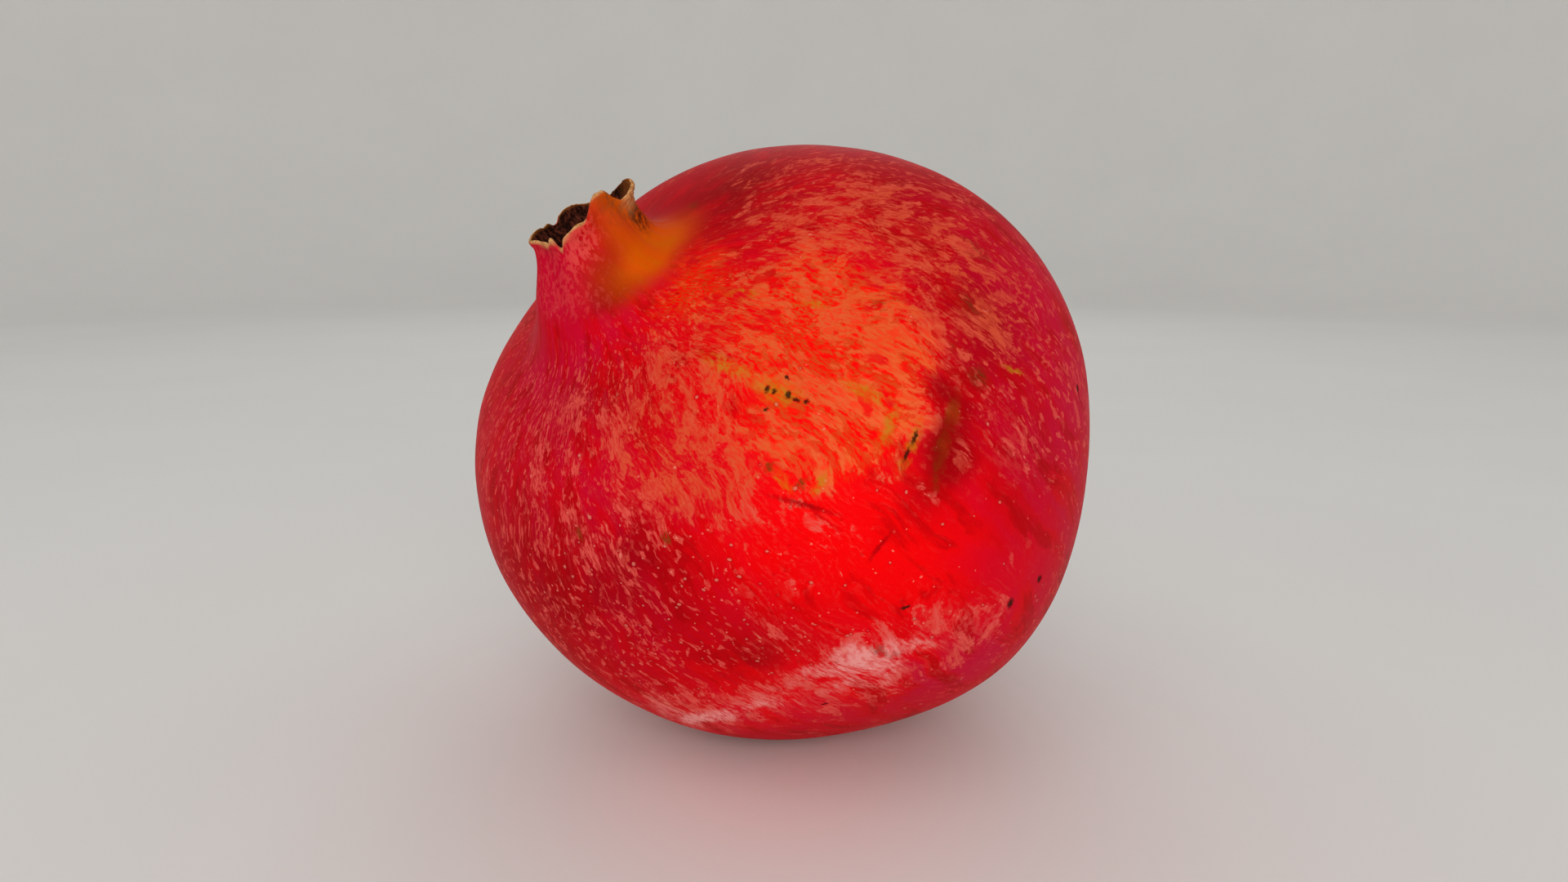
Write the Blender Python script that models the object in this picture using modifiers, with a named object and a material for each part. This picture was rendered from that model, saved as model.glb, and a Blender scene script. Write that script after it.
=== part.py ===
"""Pomegranate: one whole ripe fruit lying on its side, with its dry calyx at the blossom end.

The fruit is turned about its own axis, from the stem end up to the calyx, as one outline. The turned skin is then
pushed out of round by its five soft ribs, the calyx rim is drawn up into sepals and leaned, and the whole fruit is
laid over and pressed flat where it rests. Metres, +Z up; the origin is the middle of the flat spot on the ground.
"""

import math

import bmesh
import bpy
from mathutils import Matrix, Vector

# Body of the fruit
BODY_RADIUS = 0.045        # at the widest ring
CALYX_SIDE = 0.0362        # from the widest ring to the calyx pole
STEM_SIDE = 0.048          # from the widest ring to the stem pole
CALYX_FULLNESS = 0.59      # below 1 is boxier than an ellipse
STEM_FULLNESS = 0.97

# Calyx: a short neck that opens into a cup with worn sepals
NECK_RADIUS = 0.0064       # outside, at the waist
NECK_LENGTH = 0.0106       # from the calyx pole to the rim
NECK_FLARE = 0.0002        # how far the rim stands out past the waist
FILLET_REACH = 0.0175      # how far from the axis the neck runs out into the shoulder
FILLET_RISE = 0.0092       # how high up the neck the fillet starts
RIM_WALL = 0.0009          # thickness of the rim
CUP_DEPTH = 0.0100         # from the rim to the floor of the cup
CUP_WALL = 0.0016          # thickness of the wall at the waist
CUP_FLOOR_ROUND = 0.0030   # rounding between the wall and the floor

# Stem end: a shallow dimple with the clipped woody stub
DIMPLE_RADIUS = 0.0090
DIMPLE_DEPTH = 0.0012
STUB_RADIUS = 0.0023
STUB_LENGTH = 0.0026       # out of the bottom of the dimple
STUB_BEVEL = 0.0005

# Out-of-round body: each is a share of the radius and the side it peaks on
RIBS = 5
RIB_SWELL, RIB_SIDE = 0.032, math.radians(38)
OVAL_SWELL, OVAL_SIDE = 0.047, math.radians(105)
LOP_SWELL, LOP_SIDE = 0.021, math.radians(-11)

# Sepals round the rim: side, half width, rise above the rim, lean outward
SEPALS = (
    (math.radians(-83), math.radians(21), 0.0032, 0.0001),
    (math.radians(-114), math.radians(24), 0.0008, -0.0002),
    (math.radians(-36), math.radians(25), 0.0016, 0.0010),
    (math.radians(36), math.radians(32), -0.0012, 0.0002),
    (math.radians(100), math.radians(30), -0.0011, 0.0000),
    (math.radians(150), math.radians(20), -0.0004, 0.0006),
    (math.radians(195), math.radians(24), -0.0005, 0.0001),
)

# How the fruit lies
AXIS_TILT = math.radians(47.7)      # fruit axis from upright, calyx toward -X
CALYX_LEAN = math.radians(17)       # calyx back up toward the vertical
CALYX_LEAN_SIDE = math.radians(6)   # calyx toward -Y
LEAN_START = -0.0010                # where the lean begins and ends, from the calyx pole
LEAN_END = 0.0070
FLAT_SINK = 0.0016                  # how much the resting spot is pressed in

TURN_STEPS = 72
MERGE = 0.00001


def remove_scene_objects():
    for item in list(bpy.data.objects):
        bpy.data.objects.remove(item, do_unlink=True)


def smooth_step(start, end, value):
    share = min(max((value - start) / (end - start), 0.0), 1.0)
    return share * share * (3.0 - 2.0 * share)


def arc(centre, radius, first, last, count):
    """Points on a round stretch of the outline, both ends included; angles from +X."""
    angles = [first + (last - first) * i / (count - 1) for i in range(count)]
    return [Vector((centre[0] + radius * math.cos(a), centre[1] + radius * math.sin(a))) for a in angles]


def bezier(start, start_handle, end_handle, end, count):
    """Points along a cubic, without its first point."""
    points = []
    for i in range(1, count + 1):
        t = i / count
        s = 1.0 - t
        points.append(start * s**3 + start_handle * 3 * s * s * t + end_handle * 3 * s * t * t + end * t**3)
    return points


def body_point(turn):
    """Radius and height of the body at an angle from the widest ring, positive toward the calyx."""
    upper = turn > 0.0
    radius = BODY_RADIUS * math.cos(turn) ** (CALYX_FULLNESS if upper else STEM_FULLNESS)
    return Vector((radius, math.sin(turn) * (CALYX_SIDE if upper else STEM_SIDE)))


def body_turn(radius, fullness):
    """The angle from the widest ring at which the body has this radius."""
    return math.acos((radius / BODY_RADIUS) ** (1.0 / fullness))


def cup_outline():
    """From the middle of the cup's floor, up its wall, to the inner edge of the rim."""
    rim = CALYX_SIDE + NECK_LENGTH
    floor = rim - CUP_DEPTH
    wall = NECK_RADIUS - CUP_WALL
    mouth = NECK_RADIUS + NECK_FLARE - RIM_WALL
    corner = Vector((wall - CUP_FLOOR_ROUND, floor + CUP_FLOOR_ROUND))
    points = [Vector((0.0, floor)), Vector((corner.x * 0.55, floor))]
    points += arc(corner, CUP_FLOOR_ROUND, -math.pi / 2, 0.0, 5)
    waist = Vector((wall, rim - NECK_LENGTH * 0.35))
    points.append((points[-1] + waist) / 2)
    points.append(waist)
    edge = Vector((mouth, rim - RIM_WALL / 2))
    points += bezier(waist, waist.lerp(Vector((wall, edge.y)), 0.45), edge.lerp(Vector((mouth, waist.y)), 0.3),
                     edge, 4)
    return points


def rim_outline():
    """Over the round edge of the rim, from its inner side to its outer side."""
    centre = (NECK_RADIUS + NECK_FLARE - RIM_WALL / 2, CALYX_SIDE + NECK_LENGTH - RIM_WALL / 2)
    return arc(centre, RIM_WALL / 2, math.pi, 0.0, 5)[1:]


def neck_outline():
    """Down the outside of the neck and out along the fillet to the shoulder."""
    rim = CALYX_SIDE + NECK_LENGTH - RIM_WALL / 2
    edge = Vector((NECK_RADIUS + NECK_FLARE, rim))
    waist = Vector((NECK_RADIUS, CALYX_SIDE + FILLET_RISE))
    points = bezier(edge, edge.lerp(Vector((edge.x, waist.y)), 0.5), waist.lerp(Vector((waist.x, rim)), 0.4),
                    waist, 2)
    turn = body_turn(FILLET_REACH, CALYX_FULLNESS)
    shoulder = body_point(turn)
    along = (body_point(turn + 0.001) - body_point(turn - 0.001)).normalized()
    reach = FILLET_REACH - NECK_RADIUS
    points += bezier(waist, waist + Vector((0.07 * reach, -0.36 * FILLET_RISE)), shoulder + along * 0.66 * reach,
                     shoulder, 11)
    return points


def body_outline():
    """From the shoulder, round the widest ring, to the edge of the dimple."""
    start = body_turn(FILLET_REACH, CALYX_FULLNESS)
    end = -body_turn(DIMPLE_RADIUS, STEM_FULLNESS)
    upper = [body_point(start * (1.0 - i / 10)) for i in range(1, 11)]
    lower = [body_point(end * i / 12) for i in range(1, 13)]
    return upper + lower


def stem_outline():
    """In along the dimple, down the stub and across its clipped end."""
    edge = body_point(-body_turn(DIMPLE_RADIUS, STEM_FULLNESS))
    foot = Vector((STUB_RADIUS * 1.25, DIMPLE_DEPTH - STEM_SIDE))
    end = foot.y - STUB_LENGTH
    tangent = (body_point(-body_turn(DIMPLE_RADIUS, STEM_FULLNESS) - 0.001) - edge).normalized()
    reach = DIMPLE_RADIUS - foot.x
    points = bezier(edge, edge + tangent * 0.4 * reach, foot + Vector((0.45 * reach, 0.0)), foot, 5)
    points.append(Vector((STUB_RADIUS, foot.y - STUB_LENGTH * 0.3)))
    points += arc((STUB_RADIUS - STUB_BEVEL, end + STUB_BEVEL), STUB_BEVEL, 0.0, -math.pi / 2, 3)
    points.append(Vector((0.0, end)))
    return points


def turned_mesh():
    """Turn the whole outline about the fruit's own axis and return the closed mesh."""
    outline = cup_outline() + rim_outline() + neck_outline() + body_outline() + stem_outline()
    mesh = bpy.data.meshes.new("outline")
    edges = [(i, i + 1) for i in range(len(outline) - 1)]
    mesh.from_pydata([(p.x, 0.0, p.y) for p in outline], edges, [])
    guide = bpy.data.objects.new("outline", mesh)
    bpy.context.scene.collection.objects.link(guide)
    screw = guide.modifiers.new("turn", "SCREW")
    screw.steps = TURN_STEPS
    screw.render_steps = TURN_STEPS
    screw.use_merge_vertices = True
    screw.merge_threshold = MERGE
    graph = bpy.context.evaluated_depsgraph_get()
    turned = bpy.data.meshes.new_from_object(guide.evaluated_get(graph))
    bpy.data.objects.remove(guide, do_unlink=True)
    bpy.data.meshes.remove(mesh)
    return turned


def swell(side, height):
    """How far out of round the body is: ribs, a slight oval and a fuller side, fading to both poles."""
    reach = CALYX_SIDE if height > 0.0 else STEM_SIDE
    fade = max(0.0, 1.0 - (height / reach) ** 2)
    ribs = RIB_SWELL * math.cos(RIBS * (side - RIB_SIDE))
    oval = OVAL_SWELL * math.cos(2.0 * (side - OVAL_SIDE))
    lop = LOP_SWELL * math.cos(side - LOP_SIDE)
    return 1.0 + fade * (ribs + oval + lop)


def sepal_shape(side):
    """Rise and outward lean of the rim on one side."""
    rise = 0.0
    lean = 0.0
    for middle, half_width, height, outward in SEPALS:
        apart = abs((side - middle + math.pi) % (2.0 * math.pi) - math.pi)
        share = 1.0 - smooth_step(0.25 * half_width, 1.35 * half_width, apart)
        rise += height * share
        lean += outward * share
    return rise, lean


def shape_skin(work):
    """Push the turned skin out of round, draw up the sepals and lean the calyx."""
    for vert in work.verts:
        radius = math.hypot(vert.co.x, vert.co.y)
        side = math.atan2(vert.co.y, vert.co.x)
        height = vert.co.z
        radius *= swell(side, height)
        up = height - CALYX_SIDE
        if up > 0.0:
            share = min(up / NECK_LENGTH, 1.0)
            rise, lean = sepal_shape(side)
            height += rise * share**2
            radius += lean * share**3 * min(radius / NECK_RADIUS, 1.0)
        vert.co = Vector((radius * math.cos(side), radius * math.sin(side), height))
        lean = smooth_step(LEAN_START, LEAN_END, up)
        pole = Vector((0.0, 0.0, CALYX_SIDE))
        turn = Matrix.Rotation(CALYX_LEAN * lean, 3, "Y") @ Matrix.Rotation(CALYX_LEAN_SIDE * lean, 3, "X")
        vert.co = pole + turn @ (vert.co - pole)


def lay_down(work):
    """Tilt the fruit, press its lowest spot flat and put the middle of that spot at the origin."""
    bmesh.ops.rotate(work, cent=(0.0, 0.0, 0.0), matrix=Matrix.Rotation(-AXIS_TILT, 3, "Y"), verts=work.verts)
    ground = min(vert.co.z for vert in work.verts) + FLAT_SINK
    pressed = [vert for vert in work.verts if vert.co.z < ground]
    middle = sum((vert.co for vert in pressed), Vector()) / len(pressed)
    for vert in pressed:
        vert.co.z = ground
    bmesh.ops.translate(work, vec=(-middle.x, -middle.y, -ground), verts=work.verts)


def rind_material():
    material = bpy.data.materials.new("pomegranate_rind")
    material.use_nodes = True
    shader = material.node_tree.nodes["Principled BSDF"]
    shader.inputs["Base Color"].default_value = (0.62, 0.015, 0.03, 1.0)
    shader.inputs["Roughness"].default_value = 0.38
    shader.inputs["Metallic"].default_value = 0.0
    material.diffuse_color = (0.62, 0.015, 0.03, 1.0)
    return material


def build_pomegranate():
    mesh = turned_mesh()
    mesh.name = "pomegranate"
    work = bmesh.new()
    work.from_mesh(mesh)
    shape_skin(work)
    lay_down(work)
    bmesh.ops.recalc_face_normals(work, faces=work.faces)
    work.to_mesh(mesh)
    work.free()
    mesh.materials.clear()
    mesh.materials.append(rind_material())
    mesh.shade_smooth()
    mesh.set_sharp_from_angle(angle=math.radians(50))
    fruit = bpy.data.objects.new("pomegranate", mesh)
    collection = bpy.data.collections.new("Pomegranate")
    bpy.context.scene.collection.children.link(collection)
    collection.objects.link(fruit)
    return fruit


def main():
    remove_scene_objects()
    build_pomegranate()


main()
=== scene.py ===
"""The looks of the pomegranate: its rind with the dry calyx and stem stub, the withered filaments in the cup, and a
plain studio round it. Metres, +Z up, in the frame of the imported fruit."""

import math
import random

import bpy
import numpy as np
from bpy.props import FloatProperty, FloatVectorProperty, IntProperty, PointerProperty
from mathutils import Matrix, Vector, noise


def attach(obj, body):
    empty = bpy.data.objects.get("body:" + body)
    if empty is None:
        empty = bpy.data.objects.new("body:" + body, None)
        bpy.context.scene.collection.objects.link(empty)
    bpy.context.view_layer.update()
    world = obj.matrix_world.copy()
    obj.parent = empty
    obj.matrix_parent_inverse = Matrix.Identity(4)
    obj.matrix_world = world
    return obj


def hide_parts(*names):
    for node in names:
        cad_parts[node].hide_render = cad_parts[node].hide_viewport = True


bl_info = {
    "name": "Pomegranate",
    "version": (1, 0, 0),
    "blender": (4, 5, 0),
    "location": "3D View > Sidebar > Pomegranate",
    "description": "Models the rind, calyx and dry filaments of a pomegranate",
    "category": "Add Mesh",
}

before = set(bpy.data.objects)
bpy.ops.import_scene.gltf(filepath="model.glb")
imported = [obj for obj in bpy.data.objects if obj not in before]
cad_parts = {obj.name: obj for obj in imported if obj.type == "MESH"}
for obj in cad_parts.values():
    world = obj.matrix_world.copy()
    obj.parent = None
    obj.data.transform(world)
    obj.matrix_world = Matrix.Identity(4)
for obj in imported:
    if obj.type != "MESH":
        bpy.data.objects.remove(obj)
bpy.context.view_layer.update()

# The fruit's own frame: its axis runs from the stem stub to the calyx
AXIS_TILT = math.radians(47.7)
CALYX_SIDE = 0.0362          # from the widest ring to the calyx pole
STEM_END = 0.0494            # from the widest ring to the clipped end of the stub
BODY_RADIUS = 0.045
STUB_RADIUS = 0.0023
CALYX_LEAN = math.radians(17)
CALYX_LEAN_SIDE = math.radians(6)
CUP_FLOOR = 0.0006           # above the calyx pole, along the calyx
CUP_RADIUS = 0.0048
STUB_FOOT = 0.046            # from the widest ring to where the stub leaves the body
SAME_PLACE = 0.00001
MM = 0.001
MARK_DEPTH = 0.00045         # of the pressed-in scar and creases
MARK_MARGIN = 0.9            # how far they reach past their colour, in mm

# Stage: lights (name, place, size, power), the world's strength, the camera's aim beside the middle of the fruit,
# and the wall behind the floor
LIGHTS = (
    ("key_light", (-0.55, -0.35, 0.75), 0.7, 1.0),
    ("front_light", (-0.62, -0.85, 0.28), 1.0, 7.0),
    ("rear_light", (0.5, 0.6, 0.6), 0.6, 0.6),
)
WORLD_STRENGTH = 0.48
AIM_RIGHT = 0.00184
AIM_ABOVE = 0.00032
SENSOR_WIDTH = 36.0
WALL_BEND = 0.5
WALL_HEIGHT = 0.4
WALL_STEPS = 8

# Zones of the rind: side and latitude of each patch, half width across and half length along the ribs (degrees),
# and strength. Dusty ones dull the pale mottling, and worm ones bear short flecks and thin winding lines.
ORANGE_PATCHES = (
    (-95, 37, 12, 8, 1.0), (-95, 27, 9, 5, 0.9), (-85, 33, 9, 9, 0.75), (-84, 64, 11, 6, 0.9), (-93, 52, 10, 5, 0.5),
    (-76, 44, 10, 8, 0.5), (64, 38, 16, 12, 0.6), (82, 20, 9, 8, 0.4), (20, -60, 20, 10, 0.35),
    (140, -20, 12, 10, 0.3),
)
# Bright patches: mostly the rind's own brighter red. The long low one at (-132, -10) is painted light that brightens
# the lower part of the fruit.
BRIGHT_AND_PAINTED_LIGHT_PATCHES = (
    (-112, 22, 14, 11, 1.0), (-106, 8, 13, 9, 0.7), (-92, 40, 18, 14, 0.9), (-100, 66, 16, 9, 0.6),
    (-138, 5, 18, 8, 0.6), (-132, -10, 30, 7, 0.8), (110, 20, 22, 18, 0.6), (30, 20, 16, 16, 0.4),
)
# Darker red patches: mostly the rind's own darker tone. The ones in the scar band at (-90, 16) and at the foot of the
# neck at (-110, 77) are painted shade in those hollows.
DARK_AND_SHADE_PATCHES = (
    (-26, 58, 16, 14, 1.0), (-44, 34, 12, 8, 0.4), (-176, 30, 16, 14, 0.5), (-90, 16, 8, 3, 0.9),
    (-68, 19, 8, 8, 0.7), (-110, 77, 6, 2, 1.0), (-143, 31, 7, 5, 0.7), (-160, 31, 8, 6, 0.6), (-141, 9, 9, 5, 0.8),
    (-140, 62, 10, 6, 0.5), (20, 30, 20, 24, 0.4), (150, 10, 16, 16, 0.4),
)
MAGENTA_PATCHES = (
    (-72, -12, 16, 20, 0.8), (-113, -18, 12, 7, 1.0), (176, 46, 16, 16, 0.3), (-150, 40, 6, 16, 0.5),
    (-150, -14, 18, 7, 0.5), (-50, 0, 14, 20, 0.8), (-175, 68, 20, 8, 0.9), (100, -10, 26, 16, 0.7),
    (10, -20, 24, 18, 0.5),
)
BLEACHED_PATCHES = (
    (-120, -6, 8, 6.5, 0.85), (-127, 1, 7, 4, 0.45), (-137, -3, 10, 4, 0.4), (-163, -8, 9, 4, 1.0),
    (-167, -1, 7, 3, 0.6), (-148, -8, 10, 4, 0.55), (-134, -13, 12, 4, 0.4), (70, -25, 14, 9, 0.6),
)
FIBRE_PATCHES = (
    (-120, 46, 11, 10, 1.4), (-115, 37, 8, 6, 1.0), (-94, 40, 17, 14, 1.0), (-86, 28, 12, 9, 0.9),
    (-160, 50, 12, 11, 0.45), (-150, 37, 9, 7, 0.4), (-138, 60, 12, 6, 0.4), (-66, 44, 14, 12, 0.95),
    (-68, 30, 10, 10, 0.9), (-42, 44, 16, 12, 0.28), (-54, 28, 14, 10, 0.42), (-66, 6, 12, 12, 0.34),
    (-120, 22, 10, 6, 0.2), (-124, 8, 10, 5, 0.5), (-142, -8, 22, 7, 1.0), (-124, -12, 18, 6, 1.0),
    (-119, -6, 12, 7, 0.9), (-166, -6, 14, 7, 0.9), (-84, 5, 8, 8, 0.35), (40, 35, 24, 18, 0.8),
    (100, 38, 18, 14, 0.8), (140, 20, 18, 18, 0.6), (60, -10, 24, 16, 0.6), (-30, -20, 18, 12, 0.6),
    (10, -45, 22, 12, 0.5), (150, -30, 20, 14, 0.6), (-100, -55, 16, 12, 0.5), (-20, 5, 12, 16, 0.4),
    (110, -60, 30, 10, 0.5), (-150, -40, 16, 12, 0.5),
)
DOT_PATCHES = (
    (-155, 24, 20, 15, 1.0), (-138, 14, 15, 13, 0.95), (-124, 14, 12, 10, 0.8), (-110, 8, 16, 10, 0.5),
    (170, 0, 26, 20, 0.7), (60, 5, 40, 26, 0.6), (-60, -35, 40, 20, 0.7), (120, -45, 50, 20, 0.7),
    (0, -20, 30, 20, 0.7),
)
YELLOW_PATCHES = (
    (-60, 76.5, 8, 2.8, 1.0), (-44, 73, 7, 2.6, 0.8), (-78, 75, 5, 2, 0.6), (-30, 69, 5, 2, 0.2),
)
DUSTY_PATCHES = (
    (-70, 44, 26, 22, 1.0), (-104, 42, 14, 12, 0.8), (-121, 45, 11, 10, 1.0), (-60, 20, 16, 14, 0.5),
    (40, 40, 30, 24, 0.7),
)
WORM_PATCHES = (
    (-158, 40, 26, 26, 1.0), (-176, 20, 20, 30, 0.9), (-60, 6, 18, 32, 0.8), (-46, 20, 20, 28, 0.6),
    (-70, 26, 12, 12, 0.6), (-96, -30, 30, 10, 0.5), (170, 50, 20, 20, 0.6), (20, 0, 30, 30, 0.7),
    (90, 40, 30, 20, 0.6), (120, -20, 26, 20, 0.6),
)

# Marks of growth and handling: side, latitude, half width across and half length along the ribs (mm), turn (degrees)
PITS = (
    (-112.3, 3.2, 0.6, 0.22, -20), (-102.3, 40.7, 0.42, 0.28, 10), (-101.8, 39.7, 0.30, 0.22, 0),
    (-100.7, 37.8, 0.42, 0.36, 30), (-100.5, 36.5, 0.24, 0.44, 20), (-99.7, 35.2, 0.3, 0.24, 0),
    (-98.2, 39.5, 0.24, 0.24, 0), (-105.3, 38.9, 0.2, 0.26, 0), (-93.5, 20.2, 0.85, 0.22, 12),
    (-96.2, 19.8, 0.85, 0.24, 12), (-100.8, -12.9, 0.5, 0.7, -30), (-94.3, -16.7, 0.45, 0.6, 0),
    (-61.6, -9.3, 0.45, 0.5, 0), (-137.3, -13.3, 0.5, 0.22, 0), (48, 12, 0.5, 0.4, 20), (95, 25, 0.4, 0.7, 0),
    (130, -5, 0.5, 0.4, 0),
)
SCARS = (
    (-90.5, 15.8, 5.2, 0.8, 17), (-111.9, 32.8, 0.6, 0.5, 0), (-110.0, 28.2, 0.8, 0.45, 0),
    (-135.4, 33.4, 0.5, 0.9, 0), (-154.2, 39.1, 0.5, 0.8, 0), (75, -5, 2.5, 0.8, 30), (20, 45, 1.6, 0.7, 0),
)
SMUDGES = (
    (-78.5, 15.6, 1.1, 1.5, 10), (-77, 22, 0.8, 1.6, 0), (-92, 15.6, 4.2, 0.8, 17), (-89, 17.5, 2.6, 0.5, 10),
    (-76, 33, 0.9, 1.2, 20), (-67.5, 19, 1.4, 2.6, 0), (-56, 22, 1.2, 2.6, 0), (-56, 74, 0.6, 0.8, 0),
    (-18.5, 67, 0.9, 0.6, 0), (-119.6, -3, 0.9, 1.6, 30), (80, 25, 2.0, 1.6, 0), (35, 50, 1.6, 2.0, 0),
)
OLIVE_STREAKS = (
    (-103.5, 47.9, 0.8, 2.9, 14), (-73.0, 10.0, 0.35, 1.6, 20), (-101.5, 39.5, 1.2, 2.4, 16),
    (-86.4, 17.0, 0.9, 0.8, 0), (-91.3, 15.7, 1.2, 0.7, 17), (-84.9, 54.4, 0.5, 2.2, 8), (-82.5, 42.9, 0.4, 1.5, 20),
    (-94.8, 20.0, 2.6, 0.6, 12), (-94.5, 24.2, 1.9, 0.7, 14), (-92.6, 29.5, 0.7, 2.2, 10), (-112, 30.8, 0.5, 1.6, 0),
    (-108.1, 26.3, 1.4, 0.5, 10), (110, 44, 0.8, 2.4, 0),
)
# Creases are pressed into the rind, and the material also darkens them in deep red as painted shade in the grooves
SHADED_CREASES = (
    (-90, 15.6, 5.8, 1.9, 17), (-84, 19.5, 1.6, 2.4, 0), (-112.3, 25.7, 0.28, 3.2, 31), (-108.6, 13.9, 1.7, 0.26, 11),
    (-109.5, 77, 3.4, 0.8, 0), (35, 5, 0.3, 2.6, 30),
)


def display(red, green, blue):
    """Linear colour from display values of 0 to 255."""
    return tuple(v / 12.92 if v <= 0.04045 else ((v + 0.055) / 1.055) ** 2.4
                 for v in (red / 255, green / 255, blue / 255))


def colour(name, description, red, green, blue):
    return FloatVectorProperty(name=name, description=description, subtype="COLOR", size=3, min=0.0, max=1.0,
                               default=display(red, green, blue))


def length(name, description, default):
    return FloatProperty(name=name, description=description, default=default, min=0.0, unit="LENGTH", precision=5)


class RindSettings(bpy.types.PropertyGroup):
    crimson: colour("Crimson", "Main colour of the rind", 204, 4, 20)
    scarlet: colour("Scarlet", "Where the rind is brightest", 250, 4, 5)
    deep_red: colour("Deep red", "Where the rind is darkest", 148, 2, 8)
    magenta: colour("Magenta", "Cooler sides of the fruit", 198, 10, 52)
    orange: colour("Orange", "Sun side of the fruit", 226, 54, 8)
    rust: colour("Rust orange", "Duller part of the sun side", 192, 58, 14)
    yellow: colour("Yellow brown", "Smooth blot beside the calyx", 200, 86, 2)
    fibre: colour("Fibre", "Pale fibrous mottling over red", 230, 88, 80)
    dusty: colour("Dusty fibre", "Duller part of the pale mottling", 214, 82, 48)
    warm_fibre: colour("Warm fibre", "Pale fibrous mottling over orange", 242, 104, 40)
    bleached: colour("Bleached", "Pale patches low on the fruit", 246, 172, 168)
    dot: colour("Dots", "Small pale breathing dots", 240, 150, 128)
    scar: colour("Scar", "Healed rough marks", 128, 52, 10)
    smudge: colour("Smudge", "Soft brown-green smudges", 92, 44, 8)
    pit: colour("Pit", "Small dark pits", 44, 20, 12)
    olive: colour("Olive", "Yellow-green streaks", 184, 122, 18)
    roughness: FloatProperty(name="Roughness", description="Roughness of the clean rind", default=0.42, min=0.0,
                             max=1.0)
    unevenness: length("Unevenness", "Height of the broad dents of the rind", 0.00025)


class CalyxSettings(bpy.types.PropertyGroup):
    tan: colour("Tan", "Dry edge of the sepals", 204, 150, 98)
    brown: colour("Brown", "Dry outside of the sepals", 150, 84, 34)
    # Darkest cup colour: the dry cup's own dark brown, deepened to near black as painted shade of the hollow. The
    # stub's bark and pith and the painted shade under the curled sepal use it too.
    inside: colour("Inside", "Darkest part of the inside of the cup", 30, 12, 8)
    cup_red: colour("Cup red", "Reddish brown part of the inside of the cup", 96, 44, 30)
    wood: colour("Wood", "Clipped stem stub", 112, 78, 46)
    thinning: length("Rim thinning", "How much thinner the wall gets at the rim", 0.00036)
    crinkle: length("Crinkle", "How far the dry rim waves in and out", 0.00030)
    raggedness: length("Raggedness", "How uneven the torn edge of the rim is", 0.00011)
    ridges: length("Ridges", "Height of the ridges along the neck", 0.00004)


class FilamentSettings(bpy.types.PropertyGroup):
    count: IntProperty(name="Count", description="Number of withered filaments", default=54, min=1, max=300)
    length: length("Length", "Length of a filament", 0.0042)
    radius: length("Radius", "Radius of a filament at its foot", 0.00012)
    brown: colour("Brown", "Colour of the dry filaments", 96, 58, 28)


class StageSettings(bpy.types.PropertyGroup):
    floor: colour("Floor", "Colour of the floor", 238, 236, 232)
    floor_radius: length("Floor radius", "Flat part of the floor, from the fruit", 1.1)
    lens: FloatProperty(name="Lens", description="Focal length of the camera", default=24.45, min=1.0, unit="CAMERA")
    distance: length("Distance", "From the camera to the middle of the fruit", 0.1619)
    azimuth: FloatProperty(name="Azimuth", description="Camera round the fruit", default=math.radians(-38.5),
                           subtype="ANGLE")
    elevation: FloatProperty(name="Elevation", description="Camera above the horizon", default=math.radians(10.8),
                             subtype="ANGLE")


# ---------------------------------------------------------------------------------------------------------------------
# Shader maths


class Value:
    """A node's output that adds Math nodes when it is used in an expression."""

    def __init__(self, graph, socket):
        self.graph = graph
        self.socket = socket

    def __add__(self, other):
        return self.graph.math("ADD", self, other)

    def __sub__(self, other):
        return self.graph.math("SUBTRACT", self, other)

    def __rsub__(self, other):
        return self.graph.math("SUBTRACT", other, self)

    def __mul__(self, other):
        return self.graph.math("MULTIPLY", self, other)

    __radd__ = __add__
    __rmul__ = __mul__


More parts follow.
